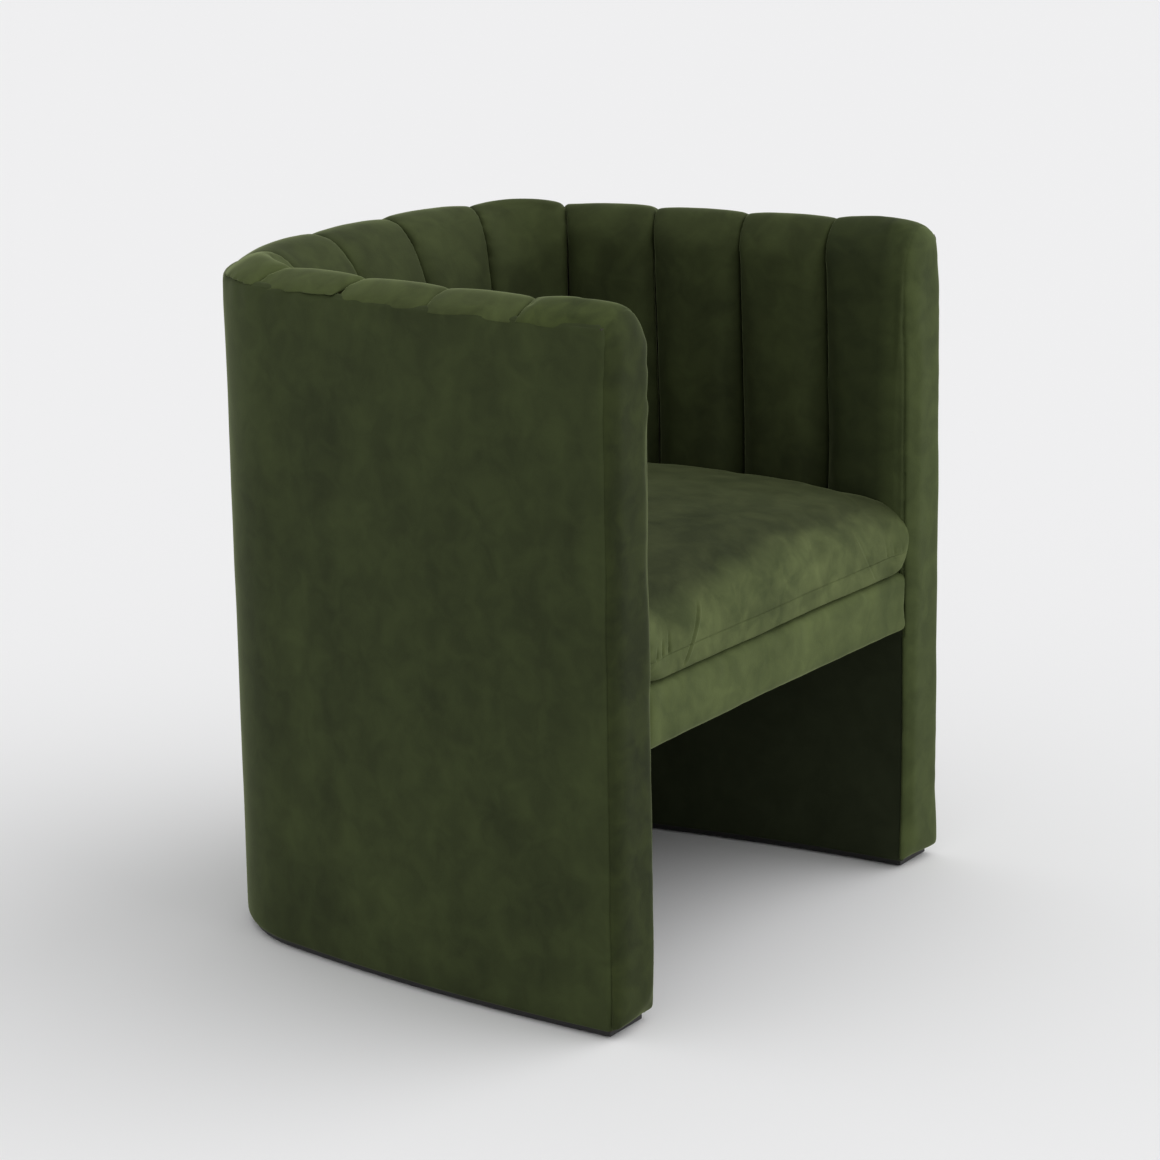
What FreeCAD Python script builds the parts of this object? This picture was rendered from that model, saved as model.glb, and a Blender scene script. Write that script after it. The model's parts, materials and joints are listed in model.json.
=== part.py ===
import FreeCAD, Part
import math
import os
import Sketcher

# Barrel occasional chair. It faces -Y, +X is to the right seen from the back, +Z is up.
# The origin is on the floor, under the middle of the whole chair. Lengths are in millimetres.
#
# A thick U-shaped wall makes the arms, the back and the legs. An inset is a distance into that
# wall from its outer face, and a setback is a distance back from the plane of the arm fronts.

Vector = FreeCAD.Vector
UP = Vector(0, 0, 1)

SIZES = {
    # the wall in plan
    "overall_width": 650.0,
    "arm_depth": 560.0,
    "outer_side_radius": 2000.0,
    "outer_corner_radius": 160.0,
    "outer_back_radius": 790.0,
    "inner_side_radius": 2600.0,
    "inner_corner_radius": 60.0,
    "inner_back_radius": 1800.0,
    "arm_thickness": 65.0,
    "back_thickness": 108.0,
    # heights
    "overall_height": 700.0,
    "glide_height": 1.5,
    "plinth_height": 6.0,
    "rail_base_height": 270.0,
    "rail_height": 50.0,
    "hoop_rise": 16.0,
    # stock
    "clearance": 0.3,
    "cloth_thickness": 2.0,
    "board_thickness": 3.0,
    "ply_thickness": 18.0,
    "top_hoop_width": 30.0,
    "base_hoop_width": 52.5,
    "leg_padding": 5.0,
    "plinth_inset": 6.0,
    "plinth_width": 56.0,
    # rim and channels
    "channel_crown": 6.5,
    "channel_trim": 10.0,
    "rim_seam_drop": 21.0,
    "rim_seam_inset": 1.0,
    "rim_crest_inset": 37.0,
    "rim_dip": 4.0,
    "rim_roll": 45.0,
    "tack_strip_height": 14.0,
    # arm fronts
    "facing_width": 67.0,
    "facing_back": 2.0,
    "facing_crown": 5.0,
    "facing_edge": 12.0,
    # seat frame
    "rail_thickness": 25.0,
    "rail_padding": 5.0,
    "block_leg": 60.0,
    "strap_width": 50.0,
    "strap_thickness": 2.0,
    "felt_thickness": 6.1,
    "rail_cover_base_height": 265.0,
    "rail_cover_rounding": 8.0,
    "dust_cover_thickness": 1.0,
    # cushion
    "cushion_side_height": 90.0,
    "cushion_crown": 17.0,
    "cushion_overhang": 7.0,
    "cushion_nose_radius": 56.0,
    "cushion_top_radius": 1200.0,
    "cushion_tuck": 9.0,
    "cushion_rounding": 20.0,
    "cushion_shoulder": 40.0,
    "cushion_front_corner": 26.0,
    # posts and glides
    "post_depth": 28.0,
    "post_width": 45.0,
    "glide_radius": 10.0,
}

CHANNELS = 13

# where the seams between channels meet the outer rim seam, from an arm's front to the back's middle
OUTER_SEAM_SHARES = (0.0, 0.127, 0.271, 0.4225, 0.575, 0.728, 0.906)

# sections across one channel: each is so far round the half turn from seam to seam
CHANNEL_TURN_SHARES = (0.0, 0.125, 0.25, 0.375, 0.5, 0.625, 0.75, 0.875, 1.0)

# how much deeper the rim's inner roll gets where the wall is thicker
ROLL_GROWTH_SHARE = 1.6

# how far the rim's crest moves out where the wall is thinner
CREST_SHARE = 0.5

# the channel's inner face leans in by this share of its height below the roll
LEAN_SHARE = 0.008

# levels of the cushion's tuck at its foot and of its rounded rim, as shares of a quarter turn
TUCK_TURN_SHARES = (0.0, 0.4, 1.0)
RIM_TURN_SHARES = (0.0, 0.35, 0.65, 0.9)

# profiles across the cushion's crown, as shares of its half width, running past its sides
CROWN_ACROSS_SHARES = (-1.2, -0.9, -0.6, -0.3, 0.0, 0.3, 0.6, 0.9, 1.2)

# where the cushion is highest, as a share of its depth
CROWN_PLACE_SHARE = 0.53

# facing levels: how far in front of the seam, as a share of the crown, then the edge inset, as a
# share of the facing's edge
FACING_SHARES = ((0.0, 0.0), (0.7, 0.35), (1.0, 1.0))

# post places along the outer curve, from an arm's front to the back's middle
SIDE_POST_SHARE = 0.4
BACK_POST_SHARE = 0.9

# strap places, as shares of half the seat's width and of its depth
LONG_STRAP_SHARES = (-0.66, -0.22, 0.22, 0.66)
CROSS_STRAP_SHARES = (0.18, 0.4, 0.62, 0.84)

doc = FreeCAD.newDocument("occasional_chair")
sheet = doc.addObject("Spreadsheet::Sheet", "Sizes")
for row, (alias, number) in enumerate(SIZES.items(), 1):
    sheet.set("A%d" % row, alias.replace("_", " "))
    sheet.set("B%d" % row, str(number))
    sheet.setAlias("B%d" % row, alias)
reader = doc.addObject("App::FeaturePython", "Reader")
doc.recompute()


def value(expression):
    """The number that an expression of the sheet's sizes stands for."""
    return float(reader.evalExpression(expression))


# Layers of the wall, as insets from its outer face.
cover_inner = "Sizes.cloth_thickness"
board_outer = cover_inner + " + Sizes.clearance"
board_inner = board_outer + " + Sizes.board_thickness"
frame_outer = board_inner + " + Sizes.clearance"
top_hoop_inner = frame_outer + " + Sizes.top_hoop_width"
lining_outer = top_hoop_inner + " + Sizes.clearance"
lining_inner = lining_outer + " + Sizes.board_thickness"
pad_outer = lining_inner + " + Sizes.clearance"
base_hoop_inner = frame_outer + " + Sizes.base_hoop_width"
leg_board_outer = base_hoop_inner + " + Sizes.clearance"
leg_board_inner = leg_board_outer + " + Sizes.board_thickness"
leg_cover_outer = leg_board_inner + " + Sizes.clearance"
leg_cover_inner = leg_cover_outer + " + Sizes.leg_padding"
rail_outer = leg_board_outer
rail_inner = rail_outer + " + Sizes.rail_thickness"

# Heights.
wall_low = "Sizes.glide_height + Sizes.plinth_height + Sizes.clearance"
base_hoop_top = wall_low + " + Sizes.ply_thickness"
seat_hoop_low = "Sizes.rail_base_height + Sizes.hoop_rise"
seat_hoop_top = seat_hoop_low + " + Sizes.ply_thickness"
rail_top = "Sizes.rail_base_height + Sizes.rail_height"
cross_strap_low = rail_top + " + Sizes.strap_thickness + Sizes.clearance"
felt_low = cross_strap_low + " + Sizes.strap_thickness + Sizes.clearance"
felt_top = felt_low + " + Sizes.felt_thickness"
seat_low = felt_top + " + Sizes.clearance"
seam_height = "Sizes.overall_height - Sizes.rim_seam_drop"
wall_top = seam_height + " - Sizes.clearance"
top_hoop_low = wall_top + " - Sizes.ply_thickness"
tack_strip_low = wall_top + " - Sizes.tack_strip_height"
dust_cover_low = "Sizes.rail_base_height - Sizes.clearance - Sizes.dust_cover_thickness"
leg_lining_top = dust_cover_low + " - Sizes.clearance"

# Setbacks.
cloth_setback = "Sizes.facing_back + Sizes.clearance"
frame_setback = cloth_setback + " + Sizes.board_thickness + Sizes.clearance"
rail_back = "Sizes.rail_padding + Sizes.rail_thickness"
side_rail_setback = rail_back + " + Sizes.clearance"

clearance = value("Sizes.clearance")
half_width = value("Sizes.overall_width") / 2
arm_depth = value("Sizes.arm_depth")
overhang = value("Sizes.cushion_overhang")
front_y = overhang - (arm_depth + overhang) / 2


class WallCurve:
    """Half of a U in plan, on +X: a side arc, a corner arc and a back arc, tangent in a row."""

    def __init__(self, reach, back, side_radius, corner_radius, back_radius):
        self.side_reach = reach
        self.back_reach = back
        self.radii = (side_radius, corner_radius, back_radius)
        side = Vector(reach - side_radius, front_y, 0)
        rear = Vector(0, front_y + back - back_radius, 0)
        side_reach = side_radius - corner_radius
        rear_reach = back_radius - corner_radius
        span = rear - side
        gap = span.Length
        along = (side_reach ** 2 - rear_reach ** 2 + gap ** 2) / (2 * gap)
        rise = math.sqrt(side_reach ** 2 - along ** 2)
        unit = span / gap
        corner = side + unit * along + Vector(-unit.y, unit.x, 0) * rise
        self.centres = (side, corner, rear)
        self.turns = (math.atan2(corner.y - side.y, corner.x - side.x),
                      math.atan2(corner.y - rear.y, corner.x - rear.x),
                      math.pi / 2)

    def part_at(self, angle):
        """Which arc the angle falls on: 0 the side, 1 the corner, 2 the back."""
        return sum(angle > turn for turn in self.turns[:2])

    def point(self, angle, inset=0.0):
        """The point where the outward normal has this angle from +X, over the whole U."""
        if angle > math.pi / 2:
            mirrored = self.point(math.pi - angle, inset)
            return Vector(-mirrored.x, mirrored.y, 0)
        part = self.part_at(angle)
        radius = self.radii[part] - inset
        return self.centres[part] + Vector(math.cos(angle), math.sin(angle), 0) * radius

    def lengths(self):
        first, second, last = self.turns
        side_radius, corner_radius, back_radius = self.radii
        return (side_radius * first, corner_radius * (second - first), back_radius * (last - second))

    def angle_at(self, length):
        """The normal's angle at a length along the U from the right arm's front."""
        side, corner, rear = self.lengths()
        half = side + corner + rear
        if length > half:
            return math.pi - self.angle_at(2 * half - length)
        if length <= side:
            return length / self.radii[0]
        if length <= side + corner:
            return self.turns[0] + (length - side) / self.radii[1]
        return self.turns[1] + (length - side - corner) / self.radii[2]

    def start(self, inset, setback):
        """The angle at which the curve at this inset leaves the plane at this setback."""
        return math.asin(setback / (self.radii[0] - inset))

    def side_x(self, inset, y):
        """The side arc's x at a given y."""
        centre = self.centres[0]
        return centre.x + math.sqrt((self.radii[0] - inset) ** 2 - (y - centre.y) ** 2)

    def rear_y(self, inset, x):
        """The back arc's y at a given x."""
        centre = self.centres[2]
        return centre.y + math.sqrt((self.radii[2] - inset) ** 2 - x ** 2)

    def arcs(self, inset, first, last):
        """Centre, part, start and end angle of each arc between two angles of the whole U."""
        side, corner, rear = self.centres
        low, high = self.turns[0], self.turns[1]
        left_side = Vector(-side.x, side.y, 0)
        left_corner = Vector(-corner.x, corner.y, 0)
        marks = (0.0, low, high, math.pi - high, math.pi - low, math.pi)
        stretches = zip((side, corner, rear, left_corner, left_side), (0, 1, 2, 1, 0), marks, marks[1:])
        found = []
        for centre, part, begin, end in stretches:
            begin = first if part == 0 and centre is side else max(begin, first)
            end = last if part == 0 and centre is left_side else min(end, last)
            if end > begin:
                found.append((centre, part, begin, end))
        return found


outer = WallCurve(half_width, arm_depth, value("Sizes.outer_side_radius"),
                  value("Sizes.outer_corner_radius"), value("Sizes.outer_back_radius"))
inner = WallCurve(half_width - value("Sizes.arm_thickness"), arm_depth - value("Sizes.back_thickness"),
                  value("Sizes.inner_side_radius"), value("Sizes.inner_corner_radius"),
                  value("Sizes.inner_back_radius"))
outer_half = sum(outer.lengths())
channel_width = 2 * sum(inner.lengths()) / CHANNELS
RADIUS_NAMES = ("outer_side_radius", "outer_corner_radius", "outer_back_radius")

nodes = []


def keep(shape_object, name):
    """Names an object as one sub-part of the chair."""
    shape_object.Label = name
    nodes.append(shape_object)


def new_sketch(name):
    body = doc.addObject("PartDesign::Body", name)
    sketch = body.newObject("Sketcher::SketchObject", name + "_plan")
    plane = [item for item in body.Origin.OriginFeatures if item.Role == "XY_Plane"][0]
    sketch.AttachmentSupport = (plane, "")
    sketch.MapMode = "FlatFace"
    return body, sketch


def pad(body, sketch, low, height, name):
    """Pads a plan up by a bound height and stands it at a bound level, as one sub-part."""
    feature = body.newObject("PartDesign::Pad", name + "_pad")
    feature.Profile = sketch
    feature.setExpression("Length", height)
    body.setExpression("Placement.Base.z", low)
    sketch.Visibility = False
    keep(body, name)


def add_arcs(sketch, inset, first, last):
    """Draws the wall's arcs at an inset, joined end to end, each radius bound to the sheet."""
    indexes = []
    depth = value(inset)
    for centre, part, begin, end in outer.arcs(depth, first, last):
        circle = Part.Circle(centre, UP, outer.radii[part] - depth)
        index = sketch.addGeometry(Part.ArcOfCircle(circle, begin, end), False)
        if indexes:
            sketch.addConstraint(Sketcher.Constraint("Coincident", indexes[-1], 2, index, 1))
        radius = sketch.addConstraint(Sketcher.Constraint("Radius", index, circle.Radius))
        sketch.setExpression("Constraints[%d]" % radius, "Sizes.%s - (%s)" % (RADIUS_NAMES[part], inset))
        indexes.append(index)
    return indexes


def join(sketch, first, first_end, second, second_end):
    """Closes two open ends with a straight line."""
    begin = sketch.getPoint(first, first_end)
    end = sketch.getPoint(second, second_end)
    line = sketch.addGeometry(Part.LineSegment(begin, end), False)
    sketch.addConstraint(Sketcher.Constraint("Coincident", first, first_end, line, 1))
    sketch.addConstraint(Sketcher.Constraint("Coincident", line, 2, second, second_end))


def wall_band(name, outer_inset, inner_inset, low, height, setback=None, between=None):
    """A band that follows the wall between two insets, from arm to arm or between two angles."""
    body, sketch = new_sketch(name)
    runs = []
    for inset in (outer_inset, inner_inset):
        if between:
            first, last = between
        else:
            first = outer.start(value(inset), value(setback))
            last = math.pi - first
        runs.append(add_arcs(sketch, inset, first, last))
    join(sketch, runs[0][-1], 2, runs[1][-1], 2)
    join(sketch, runs[1][0], 1, runs[0][0], 1)
    pad(body, sketch, low, height, name)


def seat_sheet(name, inset, setback, low, height):
    """A sheet that fills the space inside the wall, with a straight front edge."""
    body, sketch = new_sketch(name)
    first = outer.start(value(inset), value(setback))
    run = add_arcs(sketch, inset, first, math.pi - first)
    join(sketch, run[-1], 2, run[0], 1)
    pad(body, sketch, low, height, name)


def bound_box(name, length, width, height):
    """A box whose sizes are bound where they are expressions, and set where they are worked out."""
    box = doc.addObject("Part::Box", name)
    for side, size in (("Length", length), ("Width", width), ("Height", height)):
        if isinstance(size, str):
            box.setExpression(side, size)
        else:
            setattr(box, side, size)
    return box


def stand(solid, x, y, low, turn=0.0):
    """Places a primitive in plan and binds its level."""
    solid.Placement = FreeCAD.Placement(Vector(x, y, 0), FreeCAD.Rotation(UP, math.degrees(turn)))
    solid.setExpression("Placement.Base.z", low)
    return solid


def group(name, members):
    """Like pieces that share one node, each a solid of its own."""
    compound = doc.addObject("Part::Compound", name)
    compound.Links = members
    keep(compound, name)


def edge_numbers(solid, test):
    """The numbers of a solid's edges that pass a test, counted from 1 as a fillet counts them."""
    return [number for number, edge in enumerate(solid.Edges, 1) if test(edge)]


def rounding(name, base, chosen, radius):
    """Rounds the chosen edges of a solid, given by their numbers."""
    fillet = doc.addObject("Part::Fillet", name)
    fillet.Base = base
    fillet.Edges = [(number, radius, radius) for number in chosen]
    doc.recompute()
    return fillet


# Plywood hoops: they give the wall its U shape at the foot, the seat and the rim.
wall_band("base_hoop", frame_outer, base_hoop_inner, wall_low, "Sizes.ply_thickness", frame_setback)
wall_band("seat_hoop", frame_outer, base_hoop_inner, seat_hoop_low, "Sizes.ply_thickness", frame_setback)
wall_band("top_hoop", frame_outer, top_hoop_inner, top_hoop_low, "Sizes.ply_thickness", frame_setback)

# Posts: timber uprights between the hoops, below the seat and above it.
post_width = value("Sizes.post_width")
post_sag = post_width ** 2 / (8 * (outer.radii[2] - value(frame_outer)))
front_post_length = value(frame_setback) + post_width / 2
front_post_length += clearance + value("Sizes.post_depth") * front_post_length / outer.radii[0]
post_lengths = {
    "front": front_post_length,
    "side": SIDE_POST_SHARE * outer_half,
    "back": BACK_POST_SHARE * outer_half,
}
storeys = {
    "leg_post": (base_hoop_top, seat_hoop_low),
    "arm_post": (seat_hoop_top, top_hoop_low),
}
for storey, (low, high) in storeys.items():
    for place, length in post_lengths.items():
        for side, along in (("right", length), ("left", 2 * outer_half - length)):
            angle = outer.angle_at(along)
            tangent = Vector(-math.sin(angle), math.cos(angle), 0)
            corner = outer.point(angle, value(frame_outer) + post_sag) + tangent * (post_width / 2)
            post_name = "%s_%s_%s" % (storey, place, side)
            post = bound_box(post_name, "Sizes.post_depth", "Sizes.post_width", "(%s) - (%s)" % (high, low))
            keep(stand(post, corner.x, corner.y, low, angle + math.pi), post_name)

# Bent boards: one round the outside with a tack strip over it, one behind the channels, and one behind
# the plain leg cover.
wall_band("outer_board", board_outer, board_inner, wall_low,
          "(%s) - (%s) - Sizes.clearance" % (tack_strip_low, wall_low), frame_setback)
wall_band("tack_strip", board_outer, board_inner, tack_strip_low, "Sizes.tack_strip_height", frame_setback)
wall_band("inner_board", lining_outer, lining_inner, seat_hoop_top,
          "(%s) - (%s)" % (wall_top, seat_hoop_top), frame_setback)
wall_band("lower_board", leg_board_outer, leg_board_inner, wall_low,
          "(%s) - (%s)" % (leg_lining_top, wall_low), frame_setback)

# Front boards: they close the open ends of the wall behind the facings.
for side, sign in (("right", 1), ("left", -1)):
    board_name = "front_board_" + side
    board = bound_box(board_name, "(%s) - (%s)" % (lining_inner, board_outer), "Sizes.board_thickness",
                      "(%s) - (%s)" % (wall_top, wall_low))
    near = half_width - value(lining_inner) if sign > 0 else value(board_outer) - half_width
    keep(stand(board, near, front_y + value(cloth_setback), wall_low), board_name)

# Covers: the plain panel round the outside, and the padded cloth inside the legs.
wall_band("outer_cover", "0", cover_inner, wall_low, "(%s) - (%s)" % (wall_top, wall_low), cloth_setback)
wall_band("lower_cover", leg_cover_outer, leg_cover_inner, wall_low,
          "(%s) - (%s)" % (leg_lining_top, wall_low), cloth_setback)

# Plinth: a dark strip set back under the wall, on six round glides.
plinth_inner = "Sizes.plinth_inset + Sizes.plinth_width"
wall_band("plinth", "Sizes.plinth_inset", plinth_inner, "Sizes.glide_height", "Sizes.plinth_height",
          frame_setback)
plinth_middle = value("Sizes.plinth_inset") + value("Sizes.plinth_width") / 2
glides = []
for length in post_lengths.values():
    for along in (length, 2 * outer_half - length):
        glide = doc.addObject("Part::Cylinder", "glide")
        glide.setExpression("Radius", "Sizes.glide_radius")
        glide.setExpression("Height", "Sizes.glide_height")
        spot = outer.point(outer.angle_at(along), plinth_middle)
        glides.append(stand(glide, spot.x, spot.y, "0"))
group("glides", glides)

# Seat frame: a front rail between the arms, curved side and rear rails against the seat hoop, and
# blocks glued into the front corners.
rail_y = front_y + value("Sizes.rail_padding")
rail_half = half_width - value(rail_outer)
front_rail = bound_box("seat_front_rail", "Sizes.overall_width - 2 * (%s)" % rail_outer,
                       "Sizes.rail_thickness", "Sizes.rail_height")
keep(stand(front_rail, -rail_half, rail_y, "Sizes.rail_base_height"), "seat_front_rail")

rail_joint = outer.turns[0]
rail_gap = clearance / outer.radii[1]
rail_start = outer.start(value(rail_inner), value(side_rail_setback))
wall_band("seat_side_rail_right", rail_outer, rail_inner, "Sizes.rail_base_height", "Sizes.rail_height",
          between=(rail_start, rail_joint))
wall_band("seat_side_rail_left", rail_outer, rail_inner, "Sizes.rail_base_height", "Sizes.rail_height",
          between=(math.pi - rail_joint, math.pi - rail_start))
wall_band("seat_rear_rail", rail_outer, rail_inner, "Sizes.rail_base_height", "Sizes.rail_height",
          between=(rail_joint + 2 * rail_gap, math.pi - rail_joint - 2 * rail_gap))

block_leg = value("Sizes.block_leg")
block_y = front_y + value(side_rail_setback)
for side, sign in (("right", 1), ("left", -1)):
    block_name = "corner_block_" + side
    body, sketch = new_sketch(block_name)
    face_inset = value(rail_inner) + clearance
    near_x = outer.side_x(face_inset, block_y)
    far_x = outer.side_x(face_inset, block_y + block_leg)
    corners = [Vector(sign * near_x, block_y, 0), Vector(sign * far_x, block_y + block_leg, 0),
               Vector(sign * (near_x - block_leg), block_y, 0)]
    for index in range(3):
        sketch.addGeometry(Part.LineSegment(corners[index], corners[(index + 1) % 3]), False)
    for index in range(3):
        sketch.addConstraint(Sketcher.Constraint("Coincident", index, 2, (index + 1) % 3, 1))
    pad(body, sketch, "Sizes.rail_base_height", "Sizes.rail_height", block_name)

# Webbing: straps from front to back on top of the rails, and straps across them.
strap_width = value("Sizes.strap_width")
rail_middle = value(rail_outer) + value("Sizes.rail_thickness") / 2
long_straps = []
strap_front = rail_y + value("Sizes.rail_padding")
for share in LONG_STRAP_SHARES:
    centre_x = share * (half_width - rail_middle)
    edge_x = abs(centre_x) + strap_width / 2
    reach = outer.rear_y(rail_middle, edge_x) - strap_front
    strap = bound_box("long_strap", "Sizes.strap_width", reach, "Sizes.strap_thickness")
    long_straps.append(stand(strap, centre_x - strap_width / 2, strap_front, rail_top))
group("webbing_long", long_straps)

cross_straps = []
for share in CROSS_STRAP_SHARES:
    strap_y = front_y + share * (outer.centres[1].y - front_y)
    reach = outer.side_x(rail_middle, strap_y + strap_width)
    strap = bound_box("cross_strap", 2 * reach, "Sizes.strap_width", "Sizes.strap_thickness")
    cross_straps.append(stand(strap, -reach, strap_y, cross_strap_low))
group("webbing_cross", cross_straps)

# Felt deck over the straps, and a dust cover under the frame.
felt_inset = rail_outer + " + Sizes.clearance"
felt_setback = rail_back + " + Sizes.clearance"
seat_sheet("deck_felt", felt_inset, felt_setback, felt_low, "Sizes.felt_thickness")
seat_sheet("dust_cover", felt_inset, felt_setback, dust_cover_low, "Sizes.dust_cover_thickness")

# Rail cover: padding and cloth wrapped over the front rail, rounded at its edges and ends.
cover_half = half_width - value("Sizes.facing_width") - clearance
rail_wrap = bound_box("rail_wrap", "Sizes.overall_width - 2 * (Sizes.facing_width + Sizes.clearance)",
                      rail_back, "(%s) - Sizes.rail_cover_base_height" % felt_top)
stand(rail_wrap, -cover_half, front_y, "Sizes.rail_cover_base_height")
doc.recompute()

front_numbers = edge_numbers(rail_wrap.Shape, lambda edge: edge.BoundBox.YMax < front_y + clearance)
rounded = rounding("rail_wrap_rounded", rail_wrap, front_numbers, value("Sizes.rail_cover_rounding"))

rail_room = bound_box("rail_room", "Sizes.overall_width", "Sizes.rail_thickness + Sizes.rail_padding",
                      "(%s) - Sizes.rail_base_height + Sizes.clearance" % felt_low)
stand(rail_room, -half_width, rail_y - clearance, "Sizes.rail_base_height - Sizes.clearance")
rail_cover = doc.addObject("Part::Cut", "rail_cover")
rail_cover.Base = rounded
rail_cover.Tool = rail_room
keep(rail_cover, "rail_cover")


# The rim's cross-section, shared by the channels and the facings.
def arc_through(place, centre, radius, first, last):
    """An arc about a point of the section, between two angles from its inset axis."""
    points = []
    for angle in (first, (first + last) / 2, last):
        points.append(place(centre[0] + radius * math.cos(angle), centre[1] + radius * math.sin(angle)))
    return Part.Arc(*points).toShape()


def rim_edges(place, seam, crest, foot):
    """Three arcs: seam to crest, then crest to foot in two, tangent level at the crest and upright
    at the foot."""
    rise = crest[1] - seam[1]
    run = crest[0] - seam[0]
    outer_radius = (run ** 2 + rise ** 2) / (2 * rise)
    opening = math.atan2(run, outer_radius - rise)
    half_turn = math.sin(math.pi / 4)
    spare = 2 * half_turn - 1
    across = foot[0] - crest[0]
    down = crest[1] - foot[1]
    crest_radius = (across * half_turn - down * (1 - half_turn)) / spare
    foot_radius = (down * half_turn - across * (1 - half_turn)) / spare
    quarter = math.pi / 4
    return [
        arc_through(place, (crest[0], crest[1] - outer_radius), outer_radius,
                    math.pi / 2 + opening, math.pi / 2),
        arc_through(place, (crest[0], crest[1] - crest_radius), crest_radius, math.pi / 2, quarter),
        arc_through(place, (foot[0] - foot_radius, foot[1]), foot_radius, quarter, 0.0),
    ]


def roll_depth(thickness):
    """How far below its crest the rim's inner roll ends: deeper where the wall is thicker."""
    extra = thickness - value("Sizes.arm_thickness")
    return value("Sizes.rim_roll") + ROLL_GROWTH_SHARE * max(extra, 0.0)


def crest_inset(thickness):
    """Where the rim is highest: nearer the outer face where the wall is thinner."""
    spare = min(thickness - value("Sizes.arm_thickness"), 0.0)
    return value("Sizes.rim_crest_inset") + CREST_SHARE * spare


# Channels: sewn pads on the inner face that roll over the rim to the outer seam. Each is full in
# its middle and drawn in at its seams.
def outer_length(position):
    """Length along the outer curve for a place counted in channels from the right arm's front."""
    if position > CHANNELS / 2:
        return 2 * outer_half - outer_length(CHANNELS - position)
    seam = min(int(position), len(OUTER_SEAM_SHARES) - 1)
    begin = OUTER_SEAM_SHARES[seam]
    if seam == len(OUTER_SEAM_SHARES) - 1:
        return (begin + (1.0 - begin) * (position - seam) * 2) * outer_half
    end = OUTER_SEAM_SHARES[seam + 1]
    return (begin + (end - begin) * (position - seam)) * outer_half


def channel_section(position, fullness):
    """The closed section of a channel pad in the upright plane across the wall."""
    outer_angle = outer.angle_at(outer_length(position))
    start_point = outer.point(outer_angle)
    inner_point = inner.point(inner.angle_at(position * channel_width))
    across = inner_point - start_point
    thickness = across.Length
    inward = across / thickness
    normal = Vector(math.cos(outer_angle), math.sin(outer_angle), 0)
    slant = -inward.dot(normal)
    radius = outer.radii[outer.part_at(min(outer_angle, math.pi - outer_angle))]
    kept = radius - value(pad_outer)
    rear = radius * slant - math.sqrt(kept ** 2 - radius ** 2 * (1 - slant ** 2))

    def place(inset, height):
        return start_point + inward * inset + UP * height

    full = thickness + fullness * value("Sizes.channel_crown")
    top = value("Sizes.overall_height") - (1 - fullness) * value("Sizes.rim_dip")
    seam = (value("Sizes.rim_seam_inset"), value(seam_height))
    crest = (crest_inset(thickness), top)
    foot = (full, top - roll_depth(full))
    low = value(seat_low) - value("Sizes.channel_trim")
    base = (full + LEAN_SHARE * (foot[1] - low), low)
    edges = rim_edges(place, seam, crest, foot)
    corners = [foot, base, (rear, low), (rear, seam[1]), seam]
    for begin, end in zip(corners, corners[1:]):
        edges.append(Part.LineSegment(place(*begin), place(*end)).toShape())
    return Part.Wire(edges)


below_seat = bound_box("below_seat", "Sizes.overall_width", "Sizes.arm_depth", "2 * Sizes.channel_trim")
stand(below_seat, -half_width, front_y, "%s - 2 * Sizes.channel_trim" % seat_low)

channel_gap = clearance / channel_width
channel_start = value(cloth_setback) / channel_width
for index in range(CHANNELS):
    first = index + channel_gap
    last = index + 1 - channel_gap
    if index == 0:
        first = channel_start
    if index == CHANNELS - 1:
        last = CHANNELS - channel_start
    sections = []
    for share in CHANNEL_TURN_SHARES:
        across = (1.0 - math.cos(share * math.pi)) / 2
        sections.append(channel_section(first + (last - first) * across, math.sin(share * math.pi)))
    channel_name = "channel_%02d" % (index + 1)
    full_pad = doc.addObject("Part::Feature", channel_name + "_pad")
    full_pad.Shape = Part.makeLoft(sections, True, True)
    channel = doc.addObject("Part::Cut", channel_name)
    channel.Base = full_pad
    channel.Tool = below_seat
    keep(channel, channel_name)


# Facings: padded strips on the arm fronts, with the outline of the wall's end.
def facing_section(sign, y, edge):
    """The arm end's outline, drawn in by an edge inset, in an upright plane at y."""
    def place(inset, height):
        return Vector(sign * (half_width - inset), y, height)

    low = value(wall_low) + edge
    top = value("Sizes.overall_height") - value("Sizes.rim_dip") - edge
    near = value("Sizes.rim_seam_inset") + edge
    far = value("Sizes.facing_width") - edge
    seam = (near, value(seam_height) - edge)
    crest = (value("Sizes.rim_crest_inset"), top)
    foot = (far, top + edge - value("Sizes.rim_roll"))
    edges = rim_edges(place, seam, crest, foot)
    corners = [foot, (far, low), (near, low), seam]
    for begin, end in zip(corners, corners[1:]):
        edges.append(Part.LineSegment(place(*begin), place(*end)).toShape())
    return Part.Wire(edges)


for side, sign in (("right", 1), ("left", -1)):
    sections = [facing_section(sign, front_y + value("Sizes.facing_back"), 0.0)]
    for crown, edge in FACING_SHARES:
        y = front_y - crown * value("Sizes.facing_crown")
        sections.append(facing_section(sign, y, edge * value("Sizes.facing_edge")))
    facing_name = "front_facing_" + side
    facing = doc.addObject("Part::Feature", facing_name)
    facing.Shape = Part.makeLoft(sections, True, True)
    keep(facing, facing_name)


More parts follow.
